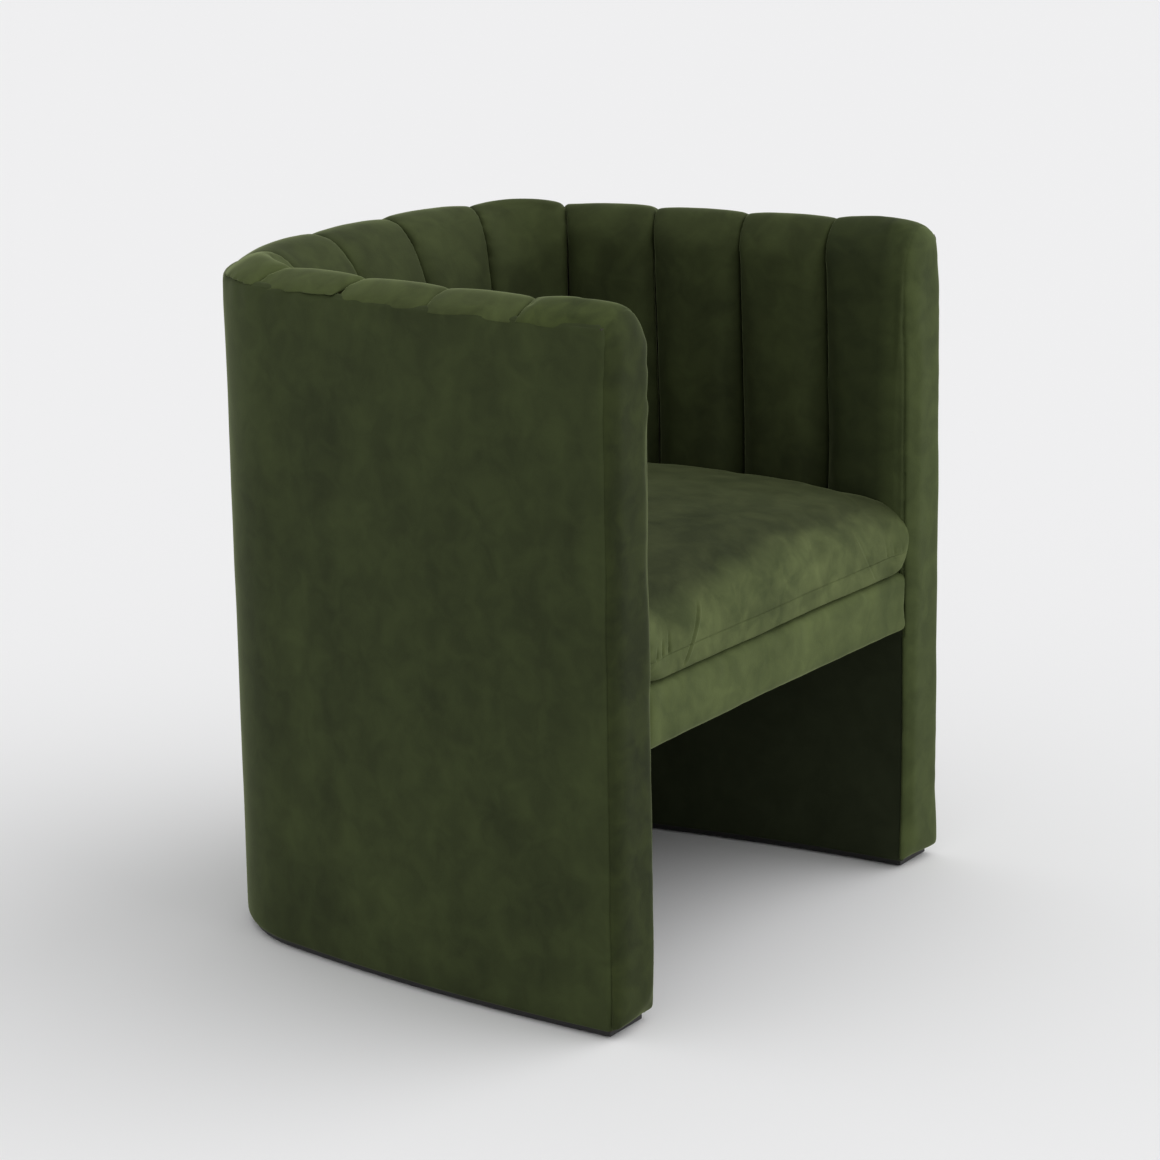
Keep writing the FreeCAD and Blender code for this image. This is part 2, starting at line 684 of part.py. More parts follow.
# Seat cushion: a crowned top with a rolled nose that stands proud of the arm fronts, over sides that
# are drawn in at the foot and rounded at the rim and lie between the channels.
cushion_low = value(seat_low)
cushion_inset = value("Sizes.channel_crown") + 2 * clearance + LEAN_SHARE * value("Sizes.rail_base_height")
cushion_half = inner.side_reach - cushion_inset
side_height = value("Sizes.cushion_side_height")
crown_height = value("Sizes.cushion_crown")
nose_y = front_y - overhang
crown_y = nose_y + CROWN_PLACE_SHARE * (front_y + inner.back_reach - nose_y)


def crown_profile(share):
    """The cushion's profile from front to back at a share of its half width: a rolled nose, then one
    long arc over the seat."""
    nose_radius = value("Sizes.cushion_nose_radius")
    top_radius = value("Sizes.cushion_top_radius")
    top = cushion_low + side_height + (1.0 - share ** 2) * crown_height
    low = cushion_low - crown_height
    back_y = front_y + inner.back_reach

    def place(y, height):
        return Vector(share * cushion_half, y, height)

    run = crown_y - nose_y - nose_radius
    reach = top_radius - nose_radius
    nose_hub = (nose_y + nose_radius, top - top_radius + math.sqrt(reach ** 2 - run ** 2))
    top_hub = (crown_y, top - top_radius)
    lean = math.atan2(nose_hub[1] - top_hub[1], -run)
    back_turn = math.acos((back_y - crown_y) / top_radius)
    back_top = (back_y, top_hub[1] + top_radius * math.sin(back_turn))
    corners = [back_top, (back_y, low), (nose_y, low), (nose_y, nose_hub[1])]
    edges = [
        arc_through(place, nose_hub, nose_radius, math.pi, lean),
        arc_through(place, top_hub, top_radius, lean, back_turn),
    ]
    for begin, end in zip(corners, corners[1:]):
        edges.append(Part.LineSegment(place(*begin), place(*end)).toShape())
    return Part.Wire(edges)


def side_contour(height, drawn):
    """The outline in plan of the cushion's sides at a height, drawn in by some amount."""
    inset = cushion_inset + drawn
    curve = WallCurve(inner.side_reach - inset, inner.back_reach - inset, inner.radii[0] - inset,
                      inner.radii[1], inner.radii[2] - inset)
    corner = value("Sizes.cushion_front_corner")
    lift = UP * (cushion_low + height)
    first = curve.start(0.0, corner - overhang - clearance)
    edges = []
    for centre, part, begin, end in curve.arcs(0.0, first, math.pi - first):
        circle = Part.Circle(centre + lift, UP, curve.radii[part])
        edges.append(Part.Arc(circle, begin, end).toShape())
    swing = corner * math.sin(math.pi / 4)
    right = curve.point(first) + lift
    spots = [right, right + Vector(swing - corner, -swing, 0), right + Vector(-corner, -corner, 0)]
    mirrored = [Vector(-spot.x, spot.y, spot.z) for spot in spots]
    edges.append(Part.Arc(*mirrored).toShape())
    edges.append(Part.LineSegment(mirrored[2], spots[2]).toShape())
    edges.append(Part.Arc(spots[2], spots[1], spots[0]).toShape())
    return Part.Wire(edges)


def side_contours():
    """Contours up the cushion's sides: the tuck, the rounded rim, and on over the crown."""
    tuck = value("Sizes.cushion_tuck")
    rim = value("Sizes.cushion_rounding")
    levels = []
    for share in TUCK_TURN_SHARES:
        turn = share * math.pi / 2
        levels.append((tuck - tuck * math.cos(turn), tuck - tuck * math.sin(turn)))
    for share in RIM_TURN_SHARES:
        turn = share * math.pi / 2
        levels.append((side_height - rim + rim * math.sin(turn), rim - rim * math.cos(turn)))
    over = side_height + crown_height + rim
    levels.append((over, rim + value("Sizes.cushion_shoulder")))
    return [side_contour(*level) for level in levels]


crown = doc.addObject("Part::Feature", "cushion_crown")
crown.Shape = Part.makeLoft([crown_profile(share) for share in CROWN_ACROSS_SHARES], True, True)
sides = doc.addObject("Part::Feature", "cushion_sides")
sides.Shape = Part.makeLoft(side_contours(), True, True)
cushion = doc.addObject("Part::Common", "seat_cushion")
cushion.Base = sides
cushion.Tool = crown
keep(cushion, "seat_cushion")

doc.recompute()

faults = []
for item in doc.Objects:
    if "Invalid" in item.State or "Error" in item.State:
        faults.append("%s failed: %s" % (item.Label, item.State))
for node in nodes:
    if node.Shape.isNull() or not node.Shape.isValid():
        faults.append("%s has no valid shape" % node.Label)
if faults:
    raise RuntimeError("; ".join(faults))

os.makedirs("parts", exist_ok=True)
for node in nodes:
    node.Shape.exportStep(os.path.join("parts", node.Label + ".step"))
print("sub-parts written:", len(nodes))
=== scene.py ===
import json
import math

import bpy
from mathutils import Matrix, Vector, noise


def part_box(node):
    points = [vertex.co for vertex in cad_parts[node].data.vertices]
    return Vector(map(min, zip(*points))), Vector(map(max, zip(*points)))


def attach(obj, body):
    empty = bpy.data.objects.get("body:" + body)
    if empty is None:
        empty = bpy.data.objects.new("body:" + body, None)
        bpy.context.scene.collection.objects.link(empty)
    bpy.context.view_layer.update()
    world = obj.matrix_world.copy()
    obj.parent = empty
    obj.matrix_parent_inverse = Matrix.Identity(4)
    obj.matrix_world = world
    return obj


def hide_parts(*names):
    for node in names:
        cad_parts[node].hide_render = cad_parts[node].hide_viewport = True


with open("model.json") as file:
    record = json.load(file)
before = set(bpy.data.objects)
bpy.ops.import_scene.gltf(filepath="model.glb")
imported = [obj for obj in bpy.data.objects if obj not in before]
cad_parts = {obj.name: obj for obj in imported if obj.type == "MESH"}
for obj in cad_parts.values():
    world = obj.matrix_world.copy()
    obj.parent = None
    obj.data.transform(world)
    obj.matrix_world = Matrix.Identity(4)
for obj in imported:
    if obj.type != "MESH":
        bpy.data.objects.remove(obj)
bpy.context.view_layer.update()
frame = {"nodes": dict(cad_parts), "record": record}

# Frame and linings
# Birch plywood hoops on softwood posts, skinned with hardboard and closed with pressed card strips.
# Elastic webbing under felt carries the seat, and a black dust cloth is stapled beneath it.


def linear(code):
    """An sRGB hex colour as the linear values that a shader takes."""
    parts = [int(code[place:place + 2], 16) / 255 for place in (1, 3, 5)]
    return tuple(part / 12.92 if part <= 0.04045 else ((part + 0.055) / 1.055) ** 2.4
                 for part in parts) + (1.0,)


def add_node(tree, kind, inputs=None, **settings):
    """Adds a shader node with its settings, its inputs set to values or linked to sockets."""
    made = tree.nodes.new(kind)
    for name, setting in settings.items():
        setattr(made, name, setting)
    for socket, given in (inputs or {}).items():
        if isinstance(given, bpy.types.NodeSocket):
            tree.links.new(given, made.inputs[socket])
        else:
            made.inputs[socket].default_value = given
    return made


def new_material(name):
    """An empty node material, its node tree and its shader."""
    material = bpy.data.materials.new(name)
    material.use_nodes = True
    tree = material.node_tree
    return material, tree, tree.nodes["Principled BSDF"]


# A mix node keeps inputs for every kind of data: its factor, its two numbers and its two colours.
FACTOR, NUMBER_A, NUMBER_B, COLOUR_A, COLOUR_B = 0, 2, 3, 6, 7
MIXED_COLOUR = 2


def board_finish(name, dark, pale, roughness, grain, stretch=(1.0, 1.0, 1.0)):
    """Grained or fibrous stock: two tones drawn out along the grain, whose width is in metres."""
    material, tree, shader = new_material(name)
    place = add_node(tree, "ShaderNodeTexCoord").outputs["Object"]
    drawn = add_node(tree, "ShaderNodeMapping", {"Vector": place, "Scale": stretch}).outputs[0]
    fibre = add_node(tree, "ShaderNodeTexNoise", {
        "Vector": drawn, "Scale": 1 / grain, "Detail": 5.0, "Roughness": 0.6}).outputs["Fac"]
    colour = add_node(tree, "ShaderNodeMix", {
        FACTOR: fibre, COLOUR_A: linear(dark), COLOUR_B: linear(pale)},
        data_type="RGBA").outputs[MIXED_COLOUR]
    relief = add_node(tree, "ShaderNodeBump", {
        "Height": fibre, "Strength": 0.2, "Distance": 0.0003}).outputs[0]
    tree.links.new(colour, shader.inputs["Base Color"])
    tree.links.new(relief, shader.inputs["Normal"])
    shader.inputs["Roughness"].default_value = roughness
    return material


# Plies show as fine level bands, softwood as upright grain, and tempered hardboard, pressed card,
# webbing, felt and dust cloth as a close fibre. The painted strip and the moulded glides are near
# black, with a faint orange peel. Each has its dark and pale tone, its roughness, the width of its
# grain and, where it has a direction, the scale of the pattern along each axis.
finishes = {
    "plywood": board_finish("birch_plywood", "#a98655", "#cfae7d", 0.6, 0.004, (0.2, 0.2, 8.0)),
    "timber": board_finish("planed_softwood", "#b08a58", "#d3b384", 0.6, 0.006, (6.0, 6.0, 0.3)),
    "hardboard": board_finish("tempered_hardboard", "#231c14", "#31281d", 0.7, 0.002),
    "strip_card": board_finish("pressed_card", "#3a332a", "#4a4136", 0.8, 0.002),
    "webbing": board_finish("elastic_webbing", "#151515", "#2a2a2a", 0.85, 0.0015),
    "felt": board_finish("needled_felt", "#77736b", "#97938a", 0.95, 0.002),
    "lining": board_finish("black_dust_cloth", "#0c0c0c", "#1a1a1a", 0.9, 0.0012),
    "plinth_black": board_finish("black_painted_strip", "#0e0d0d", "#191717", 0.5, 0.02),
    "glide_plastic": board_finish("moulded_polyethylene", "#141414", "#1e1e1e", 0.45, 0.01),
}
slots = {entry["node"]: entry["material_slot"] for entry in frame["record"]["subparts"]}
for name, node in frame["nodes"].items():
    if slots[name] in finishes:
        node.data.materials.clear()
        node.data.materials.append(finishes[slots[name]])


# Inside of the legs
# One piece of velvet over a thin pad inside the wall, from the seat frame to the floor. Its front
# edges turn out behind the arm facings.

# In plan the wall's outer face is five tangent arcs. The radii and the steps of a spin are those of
# an arm, of a rear corner and of the back.
WALL_REACH = 0.325
WALL_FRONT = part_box("outer_cover")[0].y
WALL_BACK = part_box("outer_cover")[1].y
WALL_RADII = (2.0, 0.16, 0.79)
WALL_STEPS = (26, 16, 26)

# A panel's front edges turn by this angle, from this far behind the wall's front.
TURN_SETBACK = 0.0045
TURN_ANGLE = math.radians(80)
TURN_STEPS = 6

# The brushed patches of the velvet are about 110 mm across, its finger marks 28 mm, and its tufts
# are drawn 2 mm coarse so that they show. The tufts have a small share in the tone and a larger one
# in the relief.
VELVET_PATCH = 0.11
VELVET_MARK = 0.028
VELVET_TUFT = 0.002
TUFT_SHARE = 0.14
TUFT_RELIEF = 0.6
VELVET_SHEEN = "#98a374"


def velvet(name, dark, pale, marks_share=0.3, sheen_weight=0.8):
    """Cotton velvet: a dense cut pile, dark where it is looked into and pale where it lies over."""
    material, tree, shader = new_material(name)
    place = add_node(tree, "ShaderNodeTexCoord").outputs["Object"]
    upright = add_node(tree, "ShaderNodeMapping", {
        "Vector": place, "Scale": (1.0, 1.0, 0.6)}).outputs[0]
    patches = add_node(tree, "ShaderNodeTexNoise", {
        "Vector": upright, "Scale": 1 / VELVET_PATCH, "Detail": 3.0, "Roughness": 0.55,
        "Distortion": 0.6}).outputs["Fac"]
    marks = add_node(tree, "ShaderNodeTexNoise", {
        "Vector": place, "Scale": 1 / VELVET_MARK, "Detail": 2.5, "Roughness": 0.55,
        "Distortion": 0.5}).outputs["Fac"]
    tufts = add_node(tree, "ShaderNodeTexNoise", {
        "Vector": place, "Scale": 1 / VELVET_TUFT, "Detail": 2.0}).outputs["Fac"]
    wide = add_node(tree, "ShaderNodeMapRange", {
        "Value": patches, "From Min": 0.3, "From Max": 0.7}).outputs[0]
    small = add_node(tree, "ShaderNodeMapRange", {
        "Value": marks, "From Min": 0.36, "From Max": 0.7}).outputs[0]
    brushed = add_node(tree, "ShaderNodeMix", {
        FACTOR: marks_share, NUMBER_A: wide, NUMBER_B: small}).outputs[0]
    lay = add_node(tree, "ShaderNodeMix", {
        FACTOR: TUFT_SHARE, NUMBER_A: brushed, NUMBER_B: tufts}).outputs[0]
    colour = add_node(tree, "ShaderNodeMix", {
        FACTOR: lay, COLOUR_A: linear(dark), COLOUR_B: linear(pale)},
        data_type="RGBA").outputs[MIXED_COLOUR]
    depth = add_node(tree, "ShaderNodeMath", {
        0: tufts, 1: TUFT_RELIEF, 2: marks}, operation="MULTIPLY_ADD").outputs[0]
    relief = add_node(tree, "ShaderNodeBump", {
        "Height": depth, "Strength": 0.3, "Distance": 0.0006}).outputs[0]
    tree.links.new(colour, shader.inputs["Base Color"])
    tree.links.new(relief, shader.inputs["Normal"])
    shader.inputs["Roughness"].default_value = 0.85
    shader.inputs["Specular IOR Level"].default_value = 0.15
    shader.inputs["Sheen Weight"].default_value = sheen_weight
    shader.inputs["Sheen Roughness"].default_value = 0.25
    shader.inputs["Sheen Tint"].default_value = linear(VELVET_SHEEN)
    return material


def paint_light_and_shade(material, axis, start, end, tone, ragged_by):
    """Paints light or shade into the pile: multiplies its colour by a tone that comes in from start to
    end along an axis. The edge wanders by ragged_by to each side."""
    tree = material.node_tree
    shader = tree.nodes["Principled BSDF"]
    pile = shader.inputs["Base Color"].links[0].from_socket
    place = add_node(tree, "ShaderNodeTexCoord").outputs["Object"]
    ragged = add_node(tree, "ShaderNodeTexNoise", {
        "Vector": place, "Scale": 1 / VELVET_PATCH * 2, "Detail": 4.0,
        "Distortion": 0.8}).outputs["Fac"]
    along = add_node(tree, "ShaderNodeSeparateXYZ", {0: place}).outputs[axis]
    wander = add_node(tree, "ShaderNodeMath", {
        0: ragged, 1: 2 * ragged_by, 2: along}, operation="MULTIPLY_ADD").outputs[0]
    share = add_node(tree, "ShaderNodeMapRange", {
        "Value": wander, "From Min": start + ragged_by, "From Max": end + ragged_by}).outputs[0]
    factor = add_node(tree, "ShaderNodeMix", {
        FACTOR: share, COLOUR_A: (1.0, 1.0, 1.0, 1.0), COLOUR_B: (tone, tone, tone, 1.0)},
        data_type="RGBA").outputs[MIXED_COLOUR]
    toned = add_node(tree, "ShaderNodeMix", {
        FACTOR: 1.0, COLOUR_A: pile, COLOUR_B: factor},
        data_type="RGBA", blend_type="MULTIPLY").outputs[MIXED_COLOUR]
    tree.links.new(toned, shader.inputs["Base Color"])


def select_only(piece):
    """Leaves one object selected and active."""
    bpy.ops.object.select_all(action="DESELECT")
    piece.select_set(True)
    bpy.context.view_layer.objects.active = piece


def wall_arcs():
    """Centre, start angle, turn and steps of each arc of the wall's plan, from the front of the arm
    at +X round the back to the arm at -X. A rear corner's centre follows from both its neighbours."""
    side_radius, corner_radius, back_radius = WALL_RADII
    side = Vector((WALL_REACH - side_radius, WALL_FRONT, 0))
    rear = Vector((0, WALL_BACK - back_radius, 0))
    span = rear - side
    to_side = side_radius - corner_radius
    to_rear = back_radius - corner_radius
    along = (to_side ** 2 - to_rear ** 2 + span.length ** 2) / (2 * span.length)
    unit = span.normalized()
    across = Vector((-unit.y, unit.x, 0)) * math.sqrt(to_side ** 2 - along ** 2)
    corner = side + unit * along + across
    first = math.atan2(corner.y - side.y, corner.x - side.x)
    second = math.atan2(corner.y - rear.y, corner.x - rear.x)
    other_corner, other_side = [Vector((-spot.x, spot.y, 0)) for spot in (corner, side)]
    side_steps, corner_steps, back_steps = WALL_STEPS
    return [(side, 0.0, first, side_steps), (corner, first, second - first, corner_steps),
            (rear, second, math.pi - 2 * second, back_steps),
            (other_corner, math.pi - second, second - first, corner_steps),
            (other_side, math.pi - first, first, side_steps)]


def spun_wall(name, section, turn_inset, turn):
    """Spins a closed section of insets and heights round the wall. Its front ends turn in, or out for
    a negative turn, about an upright axis at turn_inset."""
    bpy.ops.object.select_all(action="DESELECT")
    bpy.ops.mesh.primitive_circle_add(vertices=len(section), radius=0.1, fill_type="NOTHING")
    piece = bpy.context.object
    piece.name = name
    arcs = wall_arcs()
    side, _, side_turn, side_steps = arcs[0]
    other_side = arcs[-1][0]
    radius = WALL_RADII[0]
    skip = TURN_SETBACK / radius
    out = Vector((math.cos(skip), math.sin(skip), 0))
    first_axis = side + out * (radius - turn_inset)
    last_axis = Vector((-first_axis.x, first_axis.y, 0))
    turned_back = Matrix.Translation(first_axis) @ Matrix.Rotation(-turn, 4, "Z")
    turned_back = turned_back @ Matrix.Translation(-first_axis)
    for vertex, (inset, height) in zip(piece.data.vertices, section):
        vertex.co = turned_back @ (side + out * (radius - inset) + Vector((0, 0, height)))
    path = [(first_axis, turn, TURN_STEPS), (side, side_turn - skip, side_steps)]
    path += [(centre, arc_turn, steps) for centre, _, arc_turn, steps in arcs[1:-1]]
    path += [(other_side, side_turn - skip, side_steps), (last_axis, turn, TURN_STEPS)]
    bpy.ops.object.mode_set(mode="EDIT")
    bpy.ops.mesh.select_all(action="SELECT")
    bpy.ops.mesh.edge_face_add()
    for centre, arc_turn, steps in path:
        bpy.ops.mesh.spin(steps=steps, angle=-arc_turn, center=centre, axis=(0, 0, 1))
    bpy.ops.mesh.select_all(action="SELECT")
    bpy.ops.mesh.remove_doubles(threshold=0.00001)
    bpy.ops.mesh.normals_make_consistent(inside=False)
    bpy.ops.object.mode_set(mode="OBJECT")
    return piece


def rows_between(low, high, spacing=0.03):
    """Even heights from low to high, about a spacing apart."""
    count = max(round((high - low) / spacing), 2)
    return [low + (high - low) * step / count for step in range(count + 1)]


def finish_soft(piece, levels=1, smoothing=0):
    """Evens the skin out, adds the subdivisions and shades it smooth."""
    select_only(piece)
    if smoothing:
        bpy.ops.object.mode_set(mode="EDIT")
        bpy.ops.mesh.select_all(action="SELECT")
        bpy.ops.mesh.vertices_smooth(factor=0.5, repeat=smoothing)
        bpy.ops.object.mode_set(mode="OBJECT")
    finer = piece.modifiers.new("finer", "SUBSURF")
    finer.levels = levels
    finer.render_levels = levels
    bpy.ops.object.modifier_apply(modifier=finer.name)
    bpy.ops.object.shade_smooth()


def shift(piece, move_at):
    """Moves each point by what its place and normal give. All are read before any is moved."""
    moves = [move_at(vertex.co, vertex.normal) for vertex in piece.data.vertices]
    for vertex, move in zip(piece.data.vertices, moves):
        vertex.co += move


def press(piece, depth_at):
    """Moves each point in along its normal by the depth that its place and normal give."""
    shift(piece, lambda place, normal: -normal * depth_at(place, normal))


# The closer waves of a soft skin, as shares of the broad ones' length and depth.
CLOSE_WAVE = 0.3
CLOSE_DEPTH = 0.35


def soften(piece, depth, wave, seed):
    """Lets the skin wander in and out a little, as wadding under cloth does."""
    offset = Vector((seed, 2 * seed, 3 * seed))

    def wander(place, normal):
        broad = noise.noise(place / wave + offset)
        close = noise.noise(place / (wave * CLOSE_WAVE) + offset)
        return depth * (broad + CLOSE_DEPTH * close)

    press(piece, wander)


def dress(piece, material, slot, *replaced):
    """Gives a finished piece its material, its body and the CAD nodes it stands for. The slot is not
    used.
    """
    piece.data.materials.clear()
    piece.data.materials.append(material)
    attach(piece, "root")
    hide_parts(*replaced)


# The section gives insets from the wall's outer face and heights: round the foot, up the velvet's
# face and down its back.
LEG_INSET = 0.0667
LEG_BACK = LEG_INSET - 0.002
LEG_TURN_INSET = LEG_INSET - 0.006
foot, head = [corner.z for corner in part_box("lower_cover")]
leg_section = [
    (LEG_INSET - 0.004, foot), (LEG_INSET - 0.001, foot - 0.0004),
    (LEG_INSET + 0.0002, foot + 0.002),
    *[(LEG_INSET + 0.0006, row) for row in rows_between(foot + 0.006, head - 0.004)],
    (LEG_INSET, head), (LEG_BACK, head),
    *[(LEG_BACK, row) for row in reversed(rows_between(foot + 0.004, head - 0.004))],
    (LEG_INSET - 0.004, foot + 0.0012),
]
leg_panel = spun_wall("leg_panel", leg_section, LEG_TURN_INSET, -TURN_ANGLE)
finish_soft(leg_panel, levels=2)
soften(leg_panel, depth=0.0005, wave=0.16, seed=2.0)
# The leg panel's velvet is a darker copy of the cloth: painted shade, for the shade under the seat.
dress(leg_panel, velvet("cotton_velvet_leg_painted_shade", "#1f2414", "#2d3320"), "velvet", "lower_cover")


# Outer panel
# One piece of velvet over thin wadding round the outside of the wall. It is tucked up behind the rim,
# turned under at the foot, and turned in at the arm fronts, where the facings are sewn to it.

# The section goes round the foot, up the face, in to the tuck under the rim's lip and down the back.
# The hidden back has wider rows, to save faces.
OUTER_TURN_INSET = 0.0065
OUTER_BACK_ROWS = 0.09
foot, head = [corner.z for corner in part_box("outer_cover")]
outer_section = [
    (0.0060, foot - 0.0002), (0.0032, foot - 0.0005), (0.0009, foot + 0.0010),
    (-0.0005, foot + 0.0042),
    *[(-0.0010, row) for row in rows_between(foot + 0.010, head - 0.007)],
    (-0.0008, head - 0.0035), (0.0004, head - 0.0010), (0.0024, head + 0.0006),
    (0.0044, head + 0.0024), (0.0075, head + 0.0034), (0.0105, head + 0.0028),
    (0.0100, head + 0.0016), (0.0066, head + 0.0012), (0.0038, head - 0.0010),
    (0.0022, head - 0.0040),
    *[(0.0018, row) for row in reversed(rows_between(foot + 0.007, head - 0.008, OUTER_BACK_ROWS))],
    (0.0030, foot + 0.0026), (0.0060, foot + 0.0008),
]
outer_panel = spun_wall("outer_panel", outer_section, OUTER_TURN_INSET, TURN_ANGLE)
finish_soft(outer_panel, levels=2)
soften(outer_panel, depth=0.0008, wave=0.15, seed=1.0)

# The cloth gathers a little where the rim's stitching catches it: short puckers, four times as high
# as they are wide, that fade out 35 mm below the seam.
PUCKER_DEPTH = 0.0011
PUCKER_WAVE = 0.016
PUCKER_SLIMNESS = 0.25
PUCKER_REACH = 0.035


def pucker(place, normal):
    """Depth of the gathers under the rim's seam."""
    below = head - place.z
    if below < 0 or below > PUCKER_REACH:
        return 0.0
    along = Vector((place.x, place.y, place.z * PUCKER_SLIMNESS)) / PUCKER_WAVE
    return PUCKER_DEPTH * (1 - below / PUCKER_REACH) * noise.noise(along)


press(outer_panel, pucker)
outer_velvet = velvet("cotton_velvet_outer", "#2a301a", "#3f4828", marks_share=0.4, sheen_weight=0.7)
dress(outer_panel, outer_velvet, "velvet", "outer_cover")


# Channel pads
# Foam and wadding tubes sewn side by side. Each rolls over the rim and is tacked down along the outer
# panel, so it is full in its middle and tight at its seams, where it presses on the next.

# A pad's skin is remeshed, drawn in a little and blown up. Its points may move by the seam cap where
# they face the next pad, and by the face cap elsewhere.
PAD_VOXEL = 0.0055
PAD_SHRINK = 0.0008
PAD_FRAMES = 20
PAD_PRESSURE = 4.0
SEAM_CAP = 0.0019
FACE_CAP = 0.0036
SEAM_GAIN = 1.4


def copied_skin(names, piece_name, voxel, shrink):
    """CAD solids' skins as one new piece: merged, remeshed into small faces and drawn in a little."""
    bpy.ops.object.select_all(action="DESELECT")
    for name in names:
        piece = bpy.data.objects.new(piece_name, frame["nodes"][name].data.copy())
        bpy.context.collection.objects.link(piece)
        piece.select_set(True)
        bpy.context.view_layer.objects.active = piece
    if len(names) > 1:
        bpy.ops.object.join()
    piece = bpy.context.view_layer.objects.active
    piece.name = piece_name
    bpy.ops.object.mode_set(mode="EDIT")
    bpy.ops.mesh.select_all(action="SELECT")
    bpy.ops.mesh.remove_doubles(threshold=0.00002)
    bpy.ops.object.mode_set(mode="OBJECT")
    piece.data.remesh_voxel_size = voxel
    piece.data.remesh_voxel_adaptivity = 0.0
    bpy.ops.object.voxel_remesh()
    bpy.ops.object.mode_set(mode="EDIT")
    bpy.ops.mesh.select_all(action="SELECT")
    bpy.ops.mesh.vertices_smooth(factor=0.5, repeat=2)
    bpy.ops.transform.shrink_fatten(value=-shrink)
    bpy.ops.object.mode_set(mode="OBJECT")
    return piece


def inflate(piece, cap_at):
    """Blows the skin up as cloth for a few frames, then holds each point within its own cap."""
    select_only(piece)
    starts = [vertex.co.copy() for vertex in piece.data.vertices]
    caps = [cap_at(vertex.co, vertex.normal) for vertex in piece.data.vertices]
    cloth = piece.modifiers.new("filling", "CLOTH")
    cloth.settings.use_pressure = True
    cloth.settings.uniform_pressure_force = PAD_PRESSURE
    cloth.settings.effector_weights.gravity = 0.0
    cloth.settings.quality = 3
    cloth.point_cache.frame_start = 1
    cloth.point_cache.frame_end = PAD_FRAMES
    for step in range(1, PAD_FRAMES + 1):
        bpy.context.scene.frame_set(step)
    bpy.ops.object.modifier_apply(modifier=cloth.name)
    bpy.context.scene.frame_set(1)
    for vertex, start, cap in zip(piece.data.vertices, starts, caps):
        move = vertex.co - start
        if move.length > cap:
            vertex.co = start + move * (cap / move.length)


def pad_cap(sideways):
    """How far a point of a pad may move, from its normal's share along the wall."""
    return FACE_CAP + (SEAM_CAP - FACE_CAP) * min(abs(sideways) * SEAM_GAIN, 1.0)


def eased(value, start, end):
    """0 before start, 1 past end, and a smooth rise between."""
    share = min(max((value - start) / (end - start), 0.0), 1.0)
    return share * share * (3 - 2 * share)


WALL_ARCS = list(zip(WALL_RADII, wall_arcs()))


def wall_place(place):
    """The wall's outward direction in plan at a place on it, and the place's depth in the wall."""
    side = math.copysign(1.0, place.x)
    for radius, (centre, begin, turn, _) in WALL_ARCS:
        out = Vector((abs(place.x) - centre.x, place.y - centre.y, 0))
        if begin <= math.atan2(out.y, out.x) <= begin + turn:
            return Vector((side * out.x, out.y, 0)).normalized(), radius - out.length
    return Vector((side, 0, 0)), WALL_REACH - abs(place.x)


def wall_normal(place):
    """The wall's outward direction in plan at a place on it."""
    return wall_place(place)[0]


# The rim rolls out over the outer panel and its lip hangs down to the seam. The roll comes in over
# these shares of the normal that point outwards, depths of the lip in the wall, heights, and places
# behind the arm's front.
RIM_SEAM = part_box("outer_cover")[1].z
RIM_BULGE = 0.0052
RIM_DROP = 0.0045
RIM_OUTWARD = (0.1, 0.7)
LIP_DEPTH = 0.012
LIP_FADE = 0.008
RIM_HEIGHTS = (RIM_SEAM - 0.012, RIM_SEAM - 0.002)
RIM_FRONT = (WALL_FRONT - 0.010, WALL_FRONT + 0.008)


def rim_bulge(place, normal):
    """Rolls a pad out over the outer panel, and its lip down to the seam, short of the arm's front."""
    out, depth = wall_place(place)
    share = max(eased(normal.dot(out), *RIM_OUTWARD), eased(LIP_DEPTH - depth, 0.0, LIP_FADE))
    share *= eased(place.z, *RIM_HEIGHTS)
    share *= eased(place.y, *RIM_FRONT)
    return (out * RIM_BULGE - Vector((0, 0, RIM_DROP))) * share


# The padding of the back gets thicker by the lean from the upper of these heights to the lower, and
# the dips beside the seams get deeper and wider there. A dip ends over the heights of its top, and
# comes in over a share of the pad's thickness. That thickness is read near the seam.
BACK_LEAN = 0.0070
LEAN_HEIGHTS = (0.430, 0.650)
LEAN_INWARD = (-0.2, 0.6)
VALLEY_DEPTH = 0.0030
VALLEY_DEEPENS = 0.0100
VALLEY_REACH = 0.010
VALLEY_WIDENS = 0.4
VALLEY_TOP = (0.640, 0.682)
VALLEY_RISE = 0.6
SEAM_BAND = 0.02
SIDE_FACING = 0.8


def flat_side(piece, direction):
    """Middle and normal of the flat side of a pad that faces a direction."""
    middle = sum((vertex.co for vertex in piece.data.vertices), Vector()) / len(piece.data.vertices)
    faces = [face for face in piece.data.polygons
             if face.normal.dot(direction) > SIDE_FACING and (face.center - middle).dot(direction) > 0]
    spot = sum((face.center for face in faces), Vector()) / len(faces)
    return spot, sum((face.normal for face in faces), Vector()).normalized()


